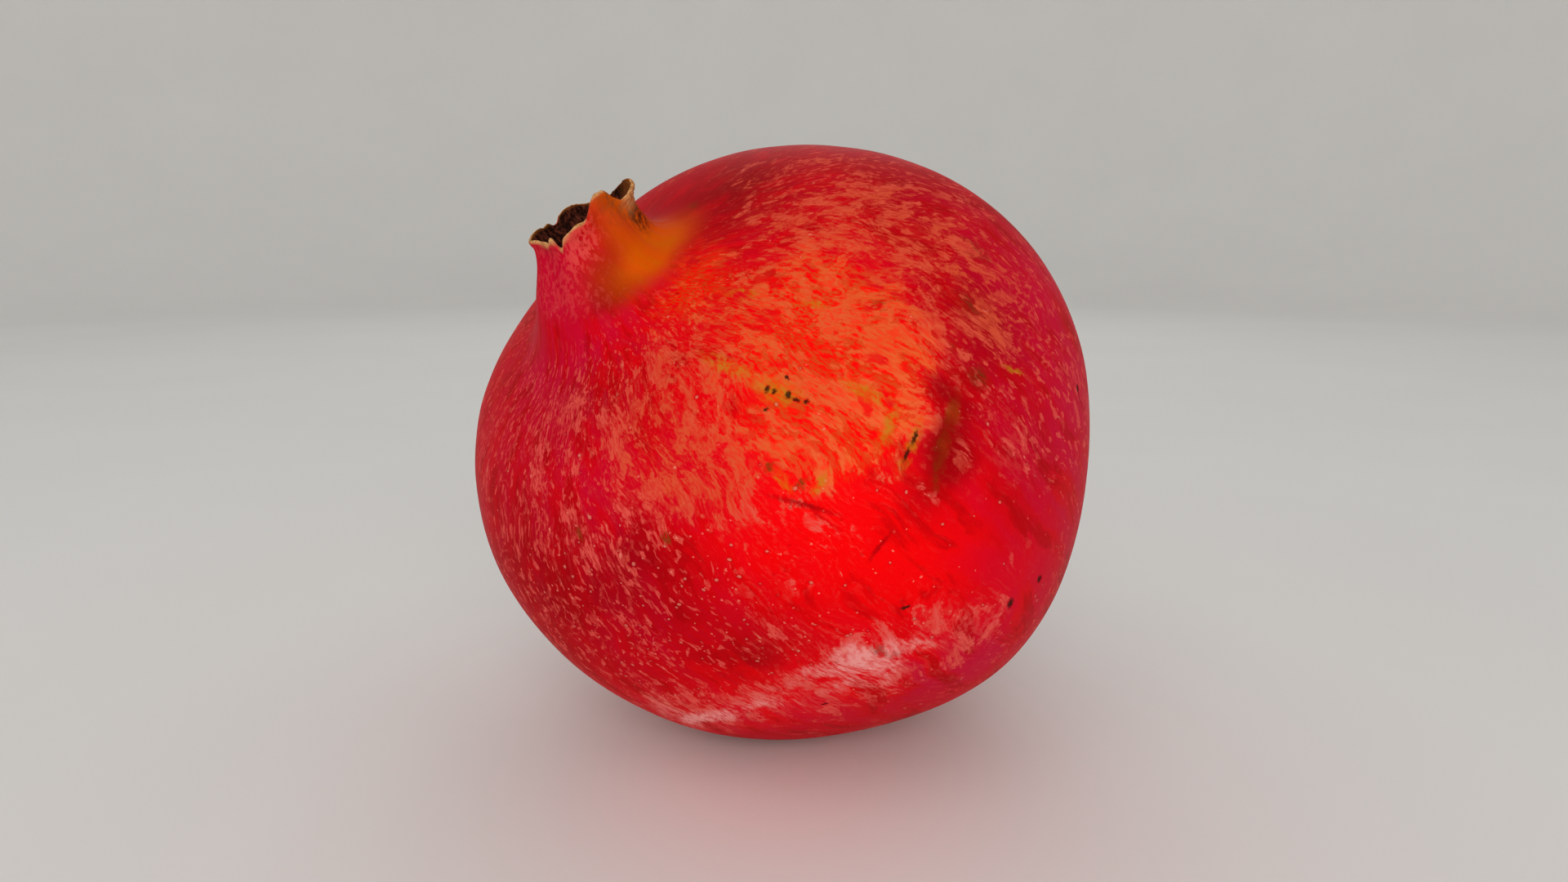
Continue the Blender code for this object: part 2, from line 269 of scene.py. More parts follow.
class Graph:
    """The nodes of one material."""

    def __init__(self, name):
        self.material = bpy.data.materials.new(name)
        self.material.use_nodes = True
        self.tree = self.material.node_tree
        self.shader = self.tree.nodes["Principled BSDF"]

    def put(self, target, value):
        """Link or set one socket; a colour of three numbers gets its fourth."""
        if isinstance(value, Value):
            self.tree.links.new(value.socket, target)
        elif target.type == "RGBA":
            target.default_value = (*value[:3], 1.0)
        else:
            target.default_value = value

    def node(self, kind, settings, sockets, *outputs):
        """Add a node, set it up, fill its sockets (by name or number) and return the outputs asked for."""
        made = self.tree.nodes.new("ShaderNode" + kind)
        for key, setting in settings.items():
            setattr(made, key, setting)
        for key, value in sockets.items():
            self.put(made.inputs[key], value)
        found = [Value(self, made.outputs[output]) for output in outputs]
        return found[0] if len(found) == 1 else found

    def math(self, operation, first, second=0.0, clamp=False):
        return self.node("Math", {"operation": operation, "use_clamp": clamp}, {0: first, 1: second}, 0)

    def vector(self, operation, first, second=(0.0, 0.0, 0.0)):
        output = "Value" if operation == "LENGTH" else "Vector"
        return self.node("VectorMath", {"operation": operation}, {0: first, 1: second}, output)

    def mix(self, share, first, second):
        """Blend two colours."""
        return self.node("Mix", {"data_type": "RGBA"}, {0: share, 6: first, 7: second}, 2)

    def fade(self, value, low, high):
        """0 up to low, 1 from high, smooth between; low may be above high."""
        return self.node("MapRange", {"interpolation_type": "SMOOTHSTEP"},
                         {"Value": value, "From Min": low, "From Max": high}, 0)

    def noise(self, place, scale, detail=2.0, roughness=0.5, output="Fac"):
        return self.node("TexNoise", {}, {"Vector": place, "Scale": scale, "Detail": detail, "Roughness": roughness},
                         output)

    def attribute(self, name, output="Vector"):
        return self.node("Attribute", {"attribute_name": name}, {}, output)

    def channels(self, name):
        """The four channels of a colour attribute."""
        split = self.node("SeparateColor", {}, {0: self.attribute(name, "Color")}, 0, 1, 2)
        return split + [self.attribute(name, "Alpha")]

    def bump(self, height, depth):
        return self.node("Bump", {}, {"Strength": 0.5, "Distance": depth, "Height": height}, "Normal")

    def place(self):
        return self.node("TexCoord", {}, {}, "Object")

    def finish(self, **sockets):
        """Fill the shader's sockets and return the material."""
        for key, value in sockets.items():
            self.put(self.shader.inputs[key.replace("_", " ")], value)
        return self.material


# ---------------------------------------------------------------------------------------------------------------------
# Places on the fruit


def fruit_frame():
    """From the fruit's own frame, with its origin in the widest ring and +Z toward the calyx, to the row frame."""
    axis = Vector((-math.sin(AXIS_TILT), 0.0, math.cos(AXIS_TILT)))
    corners = [vert.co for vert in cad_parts["pomegranate"].data.vertices]
    lowest = min(corner.dot(axis) for corner in corners)
    stub = [corner for corner in corners if corner.dot(axis) < lowest + SAME_PLACE]
    end = sum(stub, Vector()) / len(stub)
    middle = Vector((end.dot(Vector((math.cos(AXIS_TILT), 0.0, math.sin(AXIS_TILT)))), end.y, end.dot(axis)))
    return Matrix.Rotation(-AXIS_TILT, 4, "Y") @ Matrix.Translation((middle.x, middle.y, middle.z + STEM_END))


def calyx_frame():
    """From the calyx's leaned frame, with its origin at the calyx pole, to the fruit's frame."""
    lean = Matrix.Rotation(CALYX_LEAN, 4, "Y") @ Matrix.Rotation(CALYX_LEAN_SIDE, 4, "X")
    return Matrix.Translation((0.0, 0.0, CALYX_SIDE)) @ lean


def moved(points, matrix):
    """Many points taken through a matrix."""
    table = np.array(matrix)
    return points @ table[:3, :3].T + table[:3, 3]


def step(low, high, values):
    """0 up to low, 1 from high, smooth between."""
    share = np.clip((values - low) / (high - low), 0.0, 1.0)
    return share * share * (3.0 - 2.0 * share)


def ripple(points, size, seed=0.0):
    """Smooth noise from -1 to 1 at each point, with waves about this size."""
    return np.array([noise.noise(Vector(p)) for p in points / size + seed])


def hump(angle, middle, half_width):
    """1 at the middle of a range of angles, in degrees, and 0 past its edges."""
    apart = np.abs((angle - middle + 180.0) % 360.0 - 180.0)
    return 1.0 - step(0.2 * half_width, half_width, apart)


def patches(side, latitude, table):
    """How strongly each point lies in a list of soft patches."""
    total = np.zeros(len(side))
    for middle, height, across, along, strength in table:
        apart = ((side - middle + 180.0) % 360.0 - 180.0) * np.cos(np.radians(latitude))
        reach = (apart / across) ** 2 + ((latitude - height) / along) ** 2
        total = np.maximum(total, 0.0) + strength * np.exp(-0.7 * reach) * (1.0 - np.minimum(total, 1.0) * 0.5)
    return np.clip(total, 0.0, 1.0)


def select_only(*objects):
    """Select these objects alone and make the first one active."""
    bpy.ops.object.select_all(action="DESELECT")
    for item in objects:
        item.select_set(True)
    bpy.context.view_layer.objects.active = objects[0]


def apply_modifier(item, name, kind, **settings):
    select_only(item)
    modifier = item.modifiers.new(name, kind)
    for key, setting in settings.items():
        setattr(modifier, key, setting)
    bpy.ops.object.modifier_apply(modifier=modifier.name)


# ---------------------------------------------------------------------------------------------------------------------
# Rind


def copy_of_fruit():
    """A merged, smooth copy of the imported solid, fine enough to be shaped."""
    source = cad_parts["pomegranate"]
    rind = source.copy()
    rind.data = source.data.copy()
    rind.name = rind.data.name = "rind"
    rind.parent = None
    bpy.context.scene.collection.objects.link(rind)
    select_only(rind)
    bpy.ops.object.mode_set(mode="EDIT")
    bpy.ops.mesh.select_all(action="SELECT")
    bpy.ops.mesh.remove_doubles(threshold=SAME_PLACE)
    bpy.ops.mesh.tris_convert_to_quads(face_threshold=math.radians(60), shape_threshold=math.radians(120))
    bpy.ops.object.mode_set(mode="OBJECT")
    apply_modifier(rind, "smooth", "SUBSURF", levels=2, render_levels=2)
    return rind


class Skin:
    """The rind's points and where each lies on the fruit and on the calyx."""

    def __init__(self, mesh):
        self.mesh = mesh
        self.to_row = fruit_frame()
        self.calyx_to_fruit = calyx_frame()
        flat = np.empty(len(mesh.vertices) * 3, dtype=np.float32)
        mesh.vertices.foreach_get("co", flat)
        self.fruit = moved(flat.reshape(-1, 3).astype(float), self.to_row.inverted())
        mesh.vertex_normals.foreach_get("vector", flat)
        turn = self.to_row.inverted().to_3x3().to_4x4()
        self.normal = moved(flat.reshape(-1, 3).astype(float), turn)
        self.measure()

    def measure(self):
        x, y, z = self.fruit.T
        self.side = np.degrees(np.arctan2(y, x))
        self.radius = np.hypot(x, y)
        self.latitude = np.degrees(np.arctan2(z, self.radius))
        self.calyx = moved(self.fruit, self.calyx_to_fruit.inverted())
        cx, cy, self.up = self.calyx.T
        self.round = np.hypot(cx, cy)
        self.turn = np.degrees(np.arctan2(cy, cx))
        self.outward = np.stack([cx, cy, 0.0 * cx], 1) / np.maximum(self.round, 1e-9)[:, None]
        lean = self.calyx_to_fruit.inverted().to_3x3().to_4x4()
        self.faces_out = (moved(self.normal, lean) * self.outward).sum(1)
        near = (self.up > 0.006) & (self.round < 0.010)
        slots = np.arange(-180, 180, 5)
        tops = [self.up[near & (np.abs((self.turn - a + 180) % 360 - 180) < 3.5)].max() for a in slots]
        self.below_rim = np.interp(self.turn, slots, tops, period=360) - self.up
        self.on_calyx = step(-0.0005, 0.003, self.up) * (1.0 - step(0.0095, 0.0125, self.round))

    def around(self, size, along):
        """A point for each turn and height on the calyx, so that noise runs round it without a seam."""
        a = np.radians(self.turn)
        return np.stack([np.cos(a) / size, np.sin(a) / size, self.up / along], 1)

    def move_calyx(self, out, up):
        self.calyx += self.outward * out[:, None]
        self.calyx[:, 2] += up
        self.fruit = moved(self.calyx, self.calyx_to_fruit)
        self.measure()

    def write(self):
        points = moved(self.fruit, self.to_row)
        points[:, 2] = np.maximum(points[:, 2], 0.0)
        self.mesh.vertices.foreach_set("co", points.astype(np.float32).ravel())
        self.mesh.update()

    def store(self, name, values):
        """Keep one colour, or one vector, for each point."""
        kind = "FLOAT_COLOR" if values.shape[1] == 4 else "FLOAT_VECTOR"
        layer = self.mesh.attributes.new(name, kind, "POINT")
        field = "color" if values.shape[1] == 4 else "vector"
        layer.data.foreach_set(field, values.astype(np.float32).ravel())


def shape_body(skin, settings):
    """Broad shallow dents, and the pressed-in scar and creases."""
    height = settings.unevenness * (ripple(skin.fruit, 0.021) + 0.35 * ripple(skin.fruit, 0.008, 7.0))
    for middle, latitude, across, along, turn in SCARS[:1] + SHADED_CREASES:
        height -= MARK_DEPTH * mark_shape(skin, middle, latitude, across + MARK_MARGIN, along + MARK_MARGIN, turn)
    height *= 1.0 - step(-0.002, 0.002, skin.up) * (1.0 - step(0.011, 0.016, skin.round))
    height *= step(STUB_RADIUS, 0.006, skin.radius)
    skin.fruit += skin.normal * height[:, None]
    skin.measure()


def mark_frame(side, latitude, turn):
    """Directions across and along the ribs, and outward, at one place, turned about the outward one."""
    a, b, t = math.radians(side), math.radians(latitude), math.radians(turn)
    out = Vector((math.cos(b) * math.cos(a), math.cos(b) * math.sin(a), math.sin(b)))
    across = Vector((-math.sin(a), math.cos(a), 0.0))
    along = out.cross(across)
    return across * math.cos(t) + along * math.sin(t), along * math.cos(t) - across * math.sin(t), out


def mark_place(skin, side, latitude):
    """The point of the skin on this ray from the middle of the fruit."""
    out = np.array(mark_frame(side, latitude, 0.0)[2])
    reach = np.linalg.norm(skin.fruit, axis=1)
    return out * reach[np.argmax(skin.fruit @ out / reach)]


def mark_shape(skin, side, latitude, across, along, turn):
    """1 in the middle of an oval mark and 0 outside it; sizes in mm."""
    a, b, _ = mark_frame(side, latitude, turn)
    apart = skin.fruit - mark_place(skin, side, latitude)
    reach = np.hypot(apart @ np.array(a) / (across * MM), apart @ np.array(b) / (along * MM))
    near = np.linalg.norm(apart, axis=1) < 0.012
    return (1.0 - step(0.0, 1.0, reach)) * near


def shape_calyx(skin, settings):
    """Thin, crinkled and torn rim, ridged neck and creased sepals."""
    edge = 1.0 - step(0.0, 0.006, skin.below_rim)
    waves = settings.crinkle * edge * ripple(skin.around(0.55, 0.005), 1.0, 3.0)
    ridges = settings.ridges * ripple(skin.around(0.10, 0.008), 1.0, 11.0) * (skin.faces_out > -0.3)
    lobes = 0.00018 * np.cos(np.radians(6.0 * (skin.turn - 35.0)))
    crease = np.abs(ripple(skin.around(0.16, 0.014), 1.0, 5.0))
    creases = -0.00022 * (1.0 - step(0.0, 0.22, crease)) * hump(skin.turn, -22, 38)
    creases *= step(0.0015, 0.004, skin.up) * (skin.faces_out > -0.3)
    thinner = settings.thinning * np.maximum(-skin.faces_out, 0.0) * (1.0 - step(0.0, 0.005, skin.below_rim))
    hook = 0.0005 * hump(skin.turn, -32, 34) * (1.0 - step(0.0004, 0.0036, skin.below_rim))
    wrinkles = 0.00010 * np.sin(skin.below_rim / 0.0008 * 2.0 * math.pi) * hump(skin.turn, -36, 24)
    wrinkles *= 1.0 - step(0.001, 0.004, skin.below_rim)
    out = (waves + ridges + lobes + creases + thinner + hook + wrinkles) * skin.on_calyx

    tip = 1.0 - step(0.0, 0.0016, skin.below_rim)
    torn = ripple(skin.around(0.16, 1.0), 1.0, 20.0) + 0.6 * ripple(skin.around(0.06, 1.0), 1.0, 31.0)
    rise = settings.raggedness * torn * tip
    rise -= 0.0009 * hump(skin.turn, 210, 7) * (1.0 - step(0.0, 0.0024, skin.below_rim))
    rise += 0.0007 * hump(skin.turn, 200, 6) * tip
    rise -= 0.0006 * hump(skin.turn, 92, 9) * tip
    rise += 0.0002 * hump(skin.turn, -14, 18) * tip - 0.0007 * hump(skin.turn, -40, 24) * tip
    skin.move_calyx(out, rise * skin.on_calyx)


def shape_stub(skin):
    """Rough bark and a chipped end on the clipped stem."""
    on_stub = 1.0 - step(STUB_RADIUS * 1.1, STUB_RADIUS * 1.9, skin.radius)
    on_stub *= step(0.0, 0.001, -skin.fruit[:, 2] - STUB_FOOT)
    skin.fruit += skin.normal * (0.00013 * ripple(skin.fruit, 0.0009, 2.0) * on_stub)[:, None]
    skin.measure()


def paint_rind(skin):
    """Soft masks for the material: tints, some of them painted light and shade, textures, calyx parts, and a grain
    that runs along the ribs.
    """
    steady = step(50.0, 70.0, skin.latitude)
    wander = (1.0 - steady) * (4.0 * ripple(skin.fruit, 0.013, 1.0) + 3.0 * ripple(skin.fruit, 0.005, 4.0))
    drift = (1.0 - steady) * (4.0 * ripple(skin.fruit, 0.013, 9.0) + 3.0 * ripple(skin.fruit, 0.005, 14.0))
    side = skin.side + wander
    latitude = skin.latitude + drift + steady * 1.0 * ripple(skin.fruit, 0.004, 6.0)
    orange, bright_and_painted_light, dark, magenta, bleached, fibre, dots, yellow = (
        patches(side, latitude, table)
        for table in (ORANGE_PATCHES, BRIGHT_AND_PAINTED_LIGHT_PATCHES, DARK_AND_SHADE_PATCHES, MAGENTA_PATCHES, BLEACHED_PATCHES, FIBRE_PATCHES,
                      DOT_PATCHES, YELLOW_PATCHES))
    # Inside of the cup. The material paints it dark brown to near black: its own colour, deepened as painted shade of
    # the hollow.
    inside = step(0.15, 0.5, -skin.faces_out) * skin.on_calyx
    floor = (skin.up < CUP_FLOOR + 0.002) & (skin.round < CUP_RADIUS + 0.0004) & (skin.up > CUP_FLOOR - 0.001)
    inside = np.maximum(inside, floor)
    left = hump(skin.turn, -158, 34) * (1.0 - step(0.0003, 0.0011, skin.below_rim))
    curled = hump(skin.turn, -34, 30) * (1.0 - step(0.0006, 0.0034, skin.below_rim))
    dry = np.maximum(np.maximum(1.0 - step(0.0001, 0.0005, skin.below_rim), left), curled) * skin.on_calyx
    brown = (1.0 - step(0.001, 0.0065, skin.below_rim)) * skin.on_calyx * hump(skin.turn, -58, 50)
    # Painted shade below the curled right sepal, where it shadows the neck
    shade = hump(skin.turn, -42, 22) * step(0.0012, 0.0026, skin.below_rim) * skin.on_calyx
    shade *= 1.0 - step(0.004, 0.0065, skin.below_rim)
    rosy = hump(skin.turn, -170, 60) * skin.on_calyx
    stub = (1.0 - step(STUB_RADIUS * 1.08, STUB_RADIUS * 1.3, skin.radius)) * (skin.fruit[:, 2] < 0.0005 - STUB_FOOT)
    skin.store("tint", np.stack([orange, bright_and_painted_light, dark, magenta], 1))
    skin.store("texture", np.stack([fibre, dots, bleached, yellow], 1))
    skin.store("dry", np.stack([dry, brown, inside, stub], 1))
    worm = patches(side, latitude, WORM_PATCHES)
    dusty = patches(side, latitude, DUSTY_PATCHES)
    skin.store("finish", np.stack([skin.on_calyx, step(0.010, 0.016, skin.radius), worm, dusty], 1))
    a, b = np.radians(skin.side), np.radians(skin.latitude)
    ring = BODY_RADIUS * (0.45 + 0.55 * np.cos(b))
    skin.store("grain", np.stack([np.cos(a) * ring, np.sin(a) * ring, b * BODY_RADIUS], 1))
    skin.store("neck", skin.calyx)
    ruby = hump(skin.turn, -108, 34) * step(0.003, 0.0065, skin.below_rim) * skin.on_calyx
    blush = hump(skin.turn, -124, 34) * (1.0 - step(0.003, 0.0055, skin.below_rim)) * skin.on_calyx
    skin.store("sepal", np.stack([shade, rosy, ruby, blush], 1))


def mark_mask(graph, place, skin, table, edge=0.45):
    """1 inside any of the oval marks of a table."""
    total = 0.0
    reach = 1.0 + edge
    for side, latitude, across, along, turn in table:
        a, b, out = mark_frame(side, latitude, turn)
        turned = Matrix((a, b, out)).transposed().to_euler()
        sizes = (across * MM * reach, along * MM * reach, 3.0 * MM * reach)
        apart = graph.node("Mapping", {"vector_type": "TEXTURE"},
                           {"Vector": place, "Location": Vector(mark_place(skin, side, latitude)), "Rotation": turned,
                            "Scale": sizes}, 0)
        ball = graph.node("TexGradient", {"gradient_type": "SPHERICAL"}, {"Vector": apart}, "Fac")
        total = graph.math("MAXIMUM", total, graph.fade(ball, 0.0, 2.0 * edge / reach))
    return total


def rind_material(skin, rind, calyx):
    graph = Graph("rind")
    fade, mix, noise_at = graph.fade, graph.mix, graph.noise
    inverse = skin.to_row.inverted()
    place = graph.node("Mapping", {"vector_type": "POINT"},
                       {"Vector": graph.place(), "Location": inverse.to_translation(),
                        "Rotation": inverse.to_euler()}, 0)
    orange, bright_and_painted_light, dark, magenta = graph.channels("tint")
    fibre, dots, bleached, yellow = graph.channels("texture")
    dry, brown, inside, stub = graph.channels("dry")
    collar, shoulder, worm, dusty = graph.channels("finish")

    def centred(value, size):
        """Colour noise turned into a push of about half this size each way."""
        return graph.vector("MULTIPLY", graph.vector("SUBTRACT", value, (0.5, 0.5, 0.5)), (size, size, size))

    # Grain: strokes that follow the ribs and swirl a little
    swirl = centred(noise_at(place, 95.0, 1.0, output="Color"), 0.0055)
    fuzz = centred(noise_at(place, 1100.0, 2.0, output="Color"), 0.0005)
    flow = graph.vector("ADD", graph.vector("ADD", graph.attribute("grain"), swirl), fuzz)

    def along_ribs(scale, stretch, detail, roughness=0.55):
        return noise_at(graph.vector("MULTIPLY", flow, (1.0, 1.0, stretch)), scale, detail, roughness)

    strokes = along_ribs(2400.0, 0.22, 2.0, 0.6)
    blots = along_ribs(470.0, 0.55, 4.0, 0.62)
    gaps = along_ribs(330.0, 0.60, 2.0, 0.6)
    streaks = along_ribs(330.0, 0.16, 3.0)
    worms = along_ribs(700.0, 0.45, 1.0)
    dashes = along_ribs(1150.0, 0.45, 1.0)
    clumps = along_ribs(170.0, 0.55, 3.0, 0.6)
    broad = noise_at(place, 48.0, 3.0, 0.55)
    neck = graph.vector("ADD", graph.attribute("neck"), fuzz)
    neck_strokes = noise_at(graph.vector("MULTIPLY", neck, (1.0, 1.0, 0.5)), 1900.0, 4.0, 0.62)

    # Red body
    red = mix(fade(broad, 0.38, 0.66) * 0.45, rind.crimson, rind.deep_red)
    red = mix(fade(streaks, 0.44, 0.62) * 0.30, red, rind.magenta)
    # Brighter red patches: partly the rind's own tone and partly painted light on the lower part
    red = mix(bright_and_painted_light * 0.92, red, rind.scarlet)
    red = mix(magenta * fade(streaks + clumps, 0.75, 1.15), red, rind.magenta)
    # Darker red patches: partly the rind's own tone and partly painted shade in the scar band and at the foot of the
    # neck
    red = mix(dark * fade(streaks + clumps, 0.70, 1.05), red, rind.deep_red)
    red = mix(fade(streaks, 0.46, 0.36) * 0.42, red, rind.deep_red)
    gap = fade(gaps, 0.57, 0.64)
    warm = fade(orange + blots * 1.0 + clumps * 0.9, 1.20, 1.85)
    sunny = mix(dusty * 0.6, rind.orange, rind.rust)
    red = mix(warm * (0.92 - gap * 0.75), red, mix(fade(strokes, 0.36, 0.60), rind.scarlet, sunny))

    # Pale fibrous mottling with crisp red gaps, short flecks and thin winding lines
    cluster = fade(clumps, 0.40, 0.60)
    amount = graph.math("MULTIPLY", fibre, 0.35 + dusty * 0.22 + cluster * 0.95, clamp=True)
    thread = fade(strokes, 0.36, 0.62)
    mottle = fade(blots + strokes * 0.12 + amount * 0.17, 0.68, 0.74)
    pale = mottle * (0.26 + thread * 0.56) * fade(amount, 0.08, 0.35)
    pale = graph.math("MAXIMUM", pale, fade(strokes + amount * 0.10, 0.54, 0.66) * amount * 0.32)
    line = fade(graph.math("ABSOLUTE", worms - 0.5), 0.045, 0.010)
    fleck = fade(dashes + worm * 0.02 + clumps * 0.16, 0.675, 0.730) * fade(worm, 0.12, 0.50) * (0.22 + thread * 0.50)
    line = line * fade(worm * 0.6 + clumps * 1.2 + streaks * 0.8, 1.46, 1.72) * (0.12 + thread * 0.46)
    pale = graph.math("MAXIMUM", graph.math("MAXIMUM", pale * (1.0 - gap * 0.9), line), fleck) * shoulder
    tone = mix(graph.math("ADD", dusty * 0.85, fade(streaks, 0.45, 0.65) * 0.3, clamp=True), rind.fibre, rind.dusty)
    over = mix(warm * (1.0 - dusty * 0.6), tone, rind.warm_fibre)
    haze = fade(amount, 0.35, 1.0) * fade(blots, 0.42, 0.60) * (1.0 - gap * 0.8) * shoulder
    red = mix(haze * 0.20, red, over)
    red = mix(pale, red, over)

    # Bleached patches low down
    wash = fade(bleached * 0.30 + strokes * 0.35 + blots * 0.65, 0.58, 0.86) * fade(bleached, 0.02, 0.3)
    red = mix(wash * (0.50 + thread * 0.35), red, mix(fade(bleached, 0.35, 0.95), rind.fibre, rind.bleached))

    # Small breathing dots and dashes
    def scattered(scale, seed_shift, share, radius):
        """Round dots in some of the cells of a lattice, and a wider ring of shade about each."""
        spot = graph.vector("ADD", graph.vector("ADD", place, fuzz), seed_shift)
        distance, tint = graph.node("TexVoronoi", {}, {"Vector": spot, "Scale": scale}, "Distance", "Color")
        pick, swell = graph.node("SeparateColor", {}, {0: tint}, 0, 1)
        near = distance - swell * radius
        chosen = fade(pick + share, 0.97, 1.0)
        return fade(near, radius * 1.5, radius * 0.8) * chosen, fade(near, radius * 3.2, radius * 1.2) * chosen

    dot, halo = scattered(620.0, (0.0, 0.0, 0.0), dots * 0.62, 0.072)
    speck, _ = scattered(1150.0, (0.013, 0.007, 0.0), dots * 0.34, 0.09)
    dash = fade(dashes + dots * 0.05, 0.79, 0.83)
    red = mix(halo * 0.35, red, rind.deep_red)
    red = mix(graph.math("MAXIMUM", graph.math("MAXIMUM", dot, speck), dash) * 0.44, red, rind.dot)

    # Marks
    near_place = graph.vector("ADD", place, centred(noise_at(place, 2400.0, 2.0, output="Color"), 0.0007))
    far_place = graph.vector("ADD", near_place, graph.vector("MULTIPLY", fuzz, (2.4, 2.4, 2.4)))
    olive = mark_mask(graph, far_place, skin, OLIVE_STREAKS, 0.8) * fade(blots, 0.32, 0.50)
    smudge = mark_mask(graph, far_place, skin, SMUDGES, 0.85) * fade(blots, 0.60, 0.42) * (0.35 + thread * 0.65)
    scar = mark_mask(graph, far_place, skin, SCARS, 0.6) * fade(strokes, 0.34, 0.56)
    crease = mark_mask(graph, near_place, skin, SHADED_CREASES, 0.8)
    pit = mark_mask(graph, near_place, skin, PITS, 0.55)
    red = mix(olive * (0.30 + thread * 0.45), red, rind.olive)
    red = mix(smudge * 0.75, red, rind.smudge)
    red = mix(scar * 0.85, red, rind.scar)
    # Painted shade: the creases drawn in deep red
    red = mix(crease * 0.7, red, rind.deep_red)
    red = mix(pit * 0.92, red, rind.pit)

    # Calyx: yellow blot, mottled neck, thin tan rim, painted shade under the curled sepal, and a dark cup whose own
    # brown is deepened toward black as painted shade of the hollow
    shade, rosy, ruby, blush = graph.channels("sepal")
    red = mix(rosy * 0.6, red, rind.magenta)
    red = mix(ruby * 0.75, red, rind.deep_red)
    neck_mottle = fade(neck_strokes + (rosy + blush * 1.4) * 0.09, 0.54, 0.66) * collar * (1.0 - yellow)
    red = mix(neck_mottle * (0.24 + blush * 0.32), red, rind.fibre)
    red = mix(yellow, red, mix(fade(clumps, 0.35, 0.65) * 0.3, rind.yellow, rind.orange))
    ruddy = mix(fade(neck_strokes, 0.36, 0.62), calyx.brown, rind.yellow)
    red = mix(brown * 0.85, red, ruddy)
    # Painted shade under the curled right sepal, in the cup's darkest colour
    red = mix(shade * fade(neck_strokes, 0.62, 0.44) * 0.8, red, calyx.inside)
    husk = mix(fade(neck_strokes, 0.46, 0.62) * 0.7, calyx.tan, calyx.brown)
    red = mix(dry, red, husk)
    # The cup: its own dark brown, deepened toward black as painted shade of the hollow
    cup = mix(fade(neck_strokes, 0.42, 0.68), calyx.inside, calyx.cup_red)
    red = mix(inside, red, mix(dry * 0.5, cup, calyx.brown))
    across = graph.vector("LENGTH", graph.vector("MULTIPLY", place, (1.0, 1.0, 0.0)))
    grit = noise_at(place, 2600.0, 4.0, 0.65)
    ring = graph.math("SINE", across * 16000.0 + grit * 7.0) * 0.10
    bark = mix(fade(grit, 0.38, 0.62), calyx.inside, calyx.wood)
    cut = mix(fade(grit + ring, 0.30, 0.75), calyx.wood, calyx.tan)
    cut = mix(fade(across + grit * 0.0006, 0.0004, 0.0002), cut, calyx.inside)
    red = mix(stub, red, mix(fade(across + grit * 0.0003, STUB_RADIUS + 0.00005, STUB_RADIUS - 0.00025), bark, cut))

    # Finish
    husky = graph.math("MAXIMUM", graph.math("MAXIMUM", dry, brown), graph.math("MAXIMUM", inside, stub))
    dull = rind.roughness + pale * 0.10 + wash * 0.08 + (scar + pit) * 0.2 + (strokes - 0.5) * 0.10
    dull = graph.math("MAXIMUM", dull, husky * 0.85)
    relief = noise_at(place, 2600.0, 2.0, 0.6) * 0.25 + dot * 0.5 + strokes * 0.32 - pit * 1.6
    relief = relief - crease * 0.9 - scar * 0.5 + noise_at(place, 330.0, 2.0) * 0.8 + husky * neck_strokes * 1.6
    bump = graph.bump(relief, 0.00022)
    return graph.finish(Base_Color=red, Roughness=dull, Specular_IOR_Level=0.01, Normal=bump)


class POMEGRANATE_OT_make_rind(bpy.types.Operator):
    """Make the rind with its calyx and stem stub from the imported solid"""

    bl_idname = "pomegranate.make_rind"
    bl_label = "Make Rind"

    def execute(self, context):
        settings = context.scene.pomegranate_rind
        calyx = context.scene.pomegranate_calyx
        rind = copy_of_fruit()
        skin = Skin(rind.data)
        shape_body(skin, settings)
        shape_stub(skin)
        shape_calyx(skin, calyx)
        skin.write()
        paint_rind(skin)
        rind.data.materials.clear()
        rind.data.materials.append(rind_material(skin, settings, calyx))
        select_only(rind)
        bpy.ops.object.shade_smooth()
        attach(rind, "root")
        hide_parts("pomegranate")
        return {"FINISHED"}


# ---------------------------------------------------------------------------------------------------------------------
# Filaments


def filament_pattern(settings):
    """One straight filament along +Z: a tapering thread with a small shrivelled knob."""
    bpy.ops.object.select_all(action="DESELECT")
    bpy.ops.mesh.primitive_circle_add(vertices=5, radius=settings.radius, fill_type="NGON")
    pattern = bpy.context.object
    bpy.ops.object.mode_set(mode="EDIT")
    bpy.ops.mesh.select_all(action="SELECT")
    parts = 6
    for i in range(parts):
        bpy.ops.mesh.extrude_region_move(TRANSFORM_OT_translate={"value": (0.0, 0.0, settings.length / parts)})
        bpy.ops.transform.resize(value=(0.93, 0.93, 1.0))
    for rise, swell in ((0.5, 2.6), (1.2, 1.15), (0.8, 0.4)):
        bpy.ops.mesh.extrude_region_move(TRANSFORM_OT_translate={"value": (0.0, 0.0, rise * 2.0 * settings.radius)})
        bpy.ops.transform.resize(value=(swell, swell, 1.0))
    bpy.ops.mesh.select_all(action="SELECT")
    bpy.ops.mesh.normals_make_consistent(inside=False)
    bpy.ops.object.mode_set(mode="OBJECT")
    return pattern


def curl(mesh, length, bend, sway):
    """Bend a straight filament into an arc, more toward its tip."""
    for vert in mesh.vertices:
        share = vert.co.z / length
        angle = bend * share * share
        vert.co = Matrix.Rotation(angle, 3, "Y") @ vert.co
        vert.co.y += sway * length * math.sin(3.0 * share) * 0.4


def filament_material(settings):
    graph = Graph("dry_filaments")
    place = graph.place()
    tone = graph.fade(graph.noise(place, 1400.0, 3.0), 0.35, 0.7)
    dark = tuple(0.35 * c for c in settings.brown)
    return graph.finish(Base_Color=graph.mix(tone, settings.brown, dark), Roughness=0.75 + tone * 0.2,
                        Normal=graph.bump(graph.noise(place, 5200.0), 0.00008))


